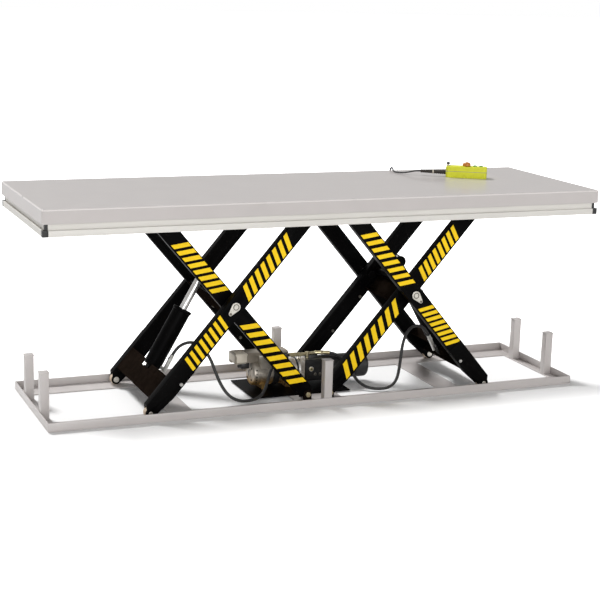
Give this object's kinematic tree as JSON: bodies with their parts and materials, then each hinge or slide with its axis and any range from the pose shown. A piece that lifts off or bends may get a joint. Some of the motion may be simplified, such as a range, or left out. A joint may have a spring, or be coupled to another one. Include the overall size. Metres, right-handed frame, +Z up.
{
  "type": "scissor lift table",
  "caption": "Long low-profile lift table: two hydraulic scissors side by side raise one flat platform over a rail base, with a trip frame and a hand control.",
  "frame": {"origin": "on the floor under the middle of the table", "axes": "+X along the platform, +Y to the rear across it, +Z up"},
  "size_m": [2.72, 0.878, 1.0682],
  "materials": {
    "frame_paint": "light warm grey paint, semi-gloss",
    "arm_paint": "satin black paint",
    "zinc": "zinc plated",
    "yellow_zinc": "yellow zinc plated",
    "chrome": "hard chrome, polished",
    "aluminium_profile": "matt anodised",
    "cast_aluminium": "cast, with foundry texture",
    "black_rubber": "smooth rubber",
    "roller_nylon": "cast nylon",
    "black_plastic": "moulded",
    "control_yellow": "moulded, fine texture",
    "stop_orange": "moulded, glossy",
    "key_green": "moulded",
    "box_beige": "moulded",
    "hazard_yellow": "printed film, plain slanted bars"
  },
  "bodies": {
    "base": {"side_rails": "frame_paint", "end_rails": "frame_paint", "base_cross_plates": "frame_paint", "stop_posts": "frame_paint", "post_caps": "frame_paint", "base_pivot_lugs": "frame_paint", "base_pivot_bolts": "yellow_zinc", "power_pack_plate": "arm_paint", "motor": "cast_aluminium", "terminal_box": "box_beige", "motor_clamp": "black_plastic", "valve_block": "cast_aluminium", "oil_tank": "black_plastic", "power_pack_fittings": "zinc"},
    "platform": {"platform_deck": "frame_paint", "platform_ribs": "frame_paint", "platform_pivot_lugs": "frame_paint", "platform_pivot_bolts": "yellow_zinc", "trip_hangers": "zinc", "control_body": "control_yellow", "control_boot": "black_rubber", "lead_clamp": "black_plastic", "control_lead": "black_rubber"},
    "trip_frame": {"trip_bars": "aluminium_profile", "trip_corners": "black_plastic"},
    "stop_button": {"stop_button": "stop_orange"},
    "raise_button": {"raise_button": "key_green"},
    "lower_button": {"lower_button": "key_green"},
    "left_inner_arms": {"left_inner_front_arm": "arm_paint", "left_inner_rear_arm": "arm_paint", "left_inner_cross_tube": "arm_paint", "left_inner_axles": "zinc"},
    "left_outer_arms": {"left_outer_front_arm": "arm_paint", "left_outer_rear_arm": "arm_paint", "left_outer_cross_plate": "arm_paint", "left_outer_pins": "zinc"},
    "left_barrel": {"left_cylinder_barrel": "arm_paint", "left_port_fitting": "zinc"},
    "left_rod": {"left_cylinder_rod": "chrome"},
    "left_hose_run": {"left_hose": "black_rubber"},
    "left_upper_front_roller": {"left_upper_front_roller": "roller_nylon"},
    "left_upper_rear_roller": {"left_upper_rear_roller": "roller_nylon"},
    "left_lower_front_roller": {"left_lower_front_roller": "roller_nylon"},
    "left_lower_rear_roller": {"left_lower_rear_roller": "roller_nylon"},
    "right_inner_arms": {"right_inner_front_arm": "arm_paint", "right_inner_rear_arm": "arm_paint", "right_inner_cross_tube": "arm_paint", "right_inner_axles": "zinc"},
    "right_outer_arms": {"right_outer_front_arm": "arm_paint", "right_outer_rear_arm": "arm_paint", "right_outer_cross_plate": "arm_paint", "right_outer_pins": "zinc"},
    "right_barrel": {"right_cylinder_barrel": "arm_paint", "right_port_fitting": "zinc"},
    "right_rod": {"right_cylinder_rod": "chrome"},
    "right_hose_run": {"right_hose": "black_rubber"},
    "right_upper_front_roller": {"right_upper_front_roller": "roller_nylon"},
    "right_upper_rear_roller": {"right_upper_rear_roller": "roller_nylon"},
    "right_lower_front_roller": {"right_lower_front_roller": "roller_nylon"},
    "right_lower_rear_roller": {"right_lower_rear_roller": "roller_nylon"}
  },
  "joints": [
    {"name": "lift_fold", "type": "hinge", "parent": "base", "child": "left_inner_arms", "pos_m": [-0.058, 0, 0.031], "axis": [0, -1, 0], "range_deg": [0, 41.76], "deforming": ["left_hose", "right_hose"]},
    {"name": "left_scissor_pivot", "type": "hinge", "parent": "left_inner_arms", "child": "left_outer_arms", "pos_m": [-0.45481, 0, 0.49561], "axis": [0, -1, 0], "range_deg": [-83.57, 0]},
    {"name": "left_platform_pivot", "type": "hinge", "parent": "left_outer_arms", "child": "platform", "pos_m": [-0.058, 0, 0.96022], "axis": [0, -1, 0], "range_deg": [0, 41.81]},
    {"name": "right_base_pivot", "type": "hinge", "parent": "base", "child": "right_inner_arms", "pos_m": [0.058, 0, 0.031], "axis": [0, -1, 0], "range_deg": [-41.81, 0]},
    {"name": "right_scissor_pivot", "type": "hinge", "parent": "right_inner_arms", "child": "right_outer_arms", "pos_m": [0.45481, 0, 0.49561], "axis": [0, -1, 0], "range_deg": [0, 83.57]},
    {"name": "left_cylinder_base_pin", "type": "hinge", "parent": "left_outer_arms", "child": "left_barrel", "pos_m": [-0.77619, 0, 0.12702], "axis": [0, -1, 0], "range_deg": [-2.96, 0]},
    {"name": "left_rod_slide", "type": "slide", "parent": "left_barrel", "child": "left_rod", "axis": [0.4931, 0, 0.87], "range_m": [-0.15706, 0]},
    {"name": "left_hose_swing", "type": "hinge", "parent": "base", "child": "left_hose_run", "pos_m": [-1.05326, 0, 0.54294], "axis": [0, -1, 0], "range_deg": [-44.72, 0]},
    {"name": "right_cylinder_base_pin", "type": "hinge", "parent": "right_outer_arms", "child": "right_barrel", "pos_m": [0.77619, 0, 0.12702], "axis": [0, -1, 0], "range_deg": [0, 2.96]},
    {"name": "right_rod_slide", "type": "slide", "parent": "right_barrel", "child": "right_rod", "axis": [-0.4931, 0, 0.87], "range_m": [-0.15706, 0]},
    {"name": "right_hose_swing", "type": "hinge", "parent": "base", "child": "right_hose_run", "pos_m": [1.05326, 0, 0.54294], "axis": [0, -1, 0], "range_deg": [0, 44.72]},
    {"name": "left_upper_front_roller_spin", "type": "hinge", "parent": "left_inner_arms", "child": "left_upper_front_roller", "pos_m": [-0.85163, 0, 0.96022], "axis": [0, -1, 0], "continuous": true},
    {"name": "left_upper_rear_roller_spin", "type": "hinge", "parent": "left_inner_arms", "child": "left_upper_rear_roller", "pos_m": [-0.85163, 0, 0.96022], "axis": [0, -1, 0], "continuous": true},
    {"name": "left_lower_front_roller_spin", "type": "hinge", "parent": "left_outer_arms", "child": "left_lower_front_roller", "pos_m": [-0.85163, 0, 0.031], "axis": [0, -1, 0], "continuous": true},
    {"name": "left_lower_rear_roller_spin", "type": "hinge", "parent": "left_outer_arms", "child": "left_lower_rear_roller", "pos_m": [-0.85163, 0, 0.031], "axis": [0, -1, 0], "continuous": true},
    {"name": "right_upper_front_roller_spin", "type": "hinge", "parent": "right_inner_arms", "child": "right_upper_front_roller", "pos_m": [0.85163, 0, 0.96022], "axis": [0, -1, 0], "continuous": true},
    {"name": "right_upper_rear_roller_spin", "type": "hinge", "parent": "right_inner_arms", "child": "right_upper_rear_roller", "pos_m": [0.85163, 0, 0.96022], "axis": [0, -1, 0], "continuous": true},
    {"name": "right_lower_front_roller_spin", "type": "hinge", "parent": "right_outer_arms", "child": "right_lower_front_roller", "pos_m": [0.85163, 0, 0.031], "axis": [0, -1, 0], "continuous": true},
    {"name": "right_lower_rear_roller_spin", "type": "hinge", "parent": "right_outer_arms", "child": "right_lower_rear_roller", "pos_m": [0.85163, 0, 0.031], "axis": [0, -1, 0], "continuous": true},
    {"name": "trip_frame_lift", "type": "slide", "parent": "platform", "child": "trip_frame", "axis": [0, 0, 1], "range_m": [0, 0.012]},
    {"name": "stop_button_press", "type": "slide", "parent": "platform", "child": "stop_button", "axis": [0, 0, -1], "range_m": [0, 0.005], "stiffness_N_per_m": 900, "springref_m": -0.003},
    {"name": "raise_button_press", "type": "slide", "parent": "platform", "child": "raise_button", "axis": [0, 0, -1], "range_m": [0, 0.0025], "stiffness_N_per_m": 900, "springref_m": -0.001},
    {"name": "lower_button_press", "type": "slide", "parent": "platform", "child": "lower_button", "axis": [0, 0, -1], "range_m": [0, 0.0025], "stiffness_N_per_m": 900, "springref_m": -0.001}
  ],
  "couplings": [
    {"joint": "left_scissor_pivot", "follows": "lift_fold", "ratio": -2},
    {"joint": "left_platform_pivot", "follows": "lift_fold", "ratio": 1},
    {"joint": "right_base_pivot", "follows": "lift_fold", "ratio": -1},
    {"joint": "right_scissor_pivot", "follows": "lift_fold", "ratio": 2},
    {"joint": "left_cylinder_base_pin", "follows": "lift_fold", "ratio": -0.069691},
    {"joint": "left_rod_slide", "follows": "lift_fold", "m_per_rad": -0.2148},
    {"joint": "left_hose_swing", "follows": "lift_fold", "ratio": -1.0697},
    {"joint": "right_cylinder_base_pin", "follows": "lift_fold", "ratio": 0.069691},
    {"joint": "right_rod_slide", "follows": "lift_fold", "m_per_rad": -0.2148},
    {"joint": "right_hose_swing", "follows": "lift_fold", "ratio": 1.0697}
  ]
}
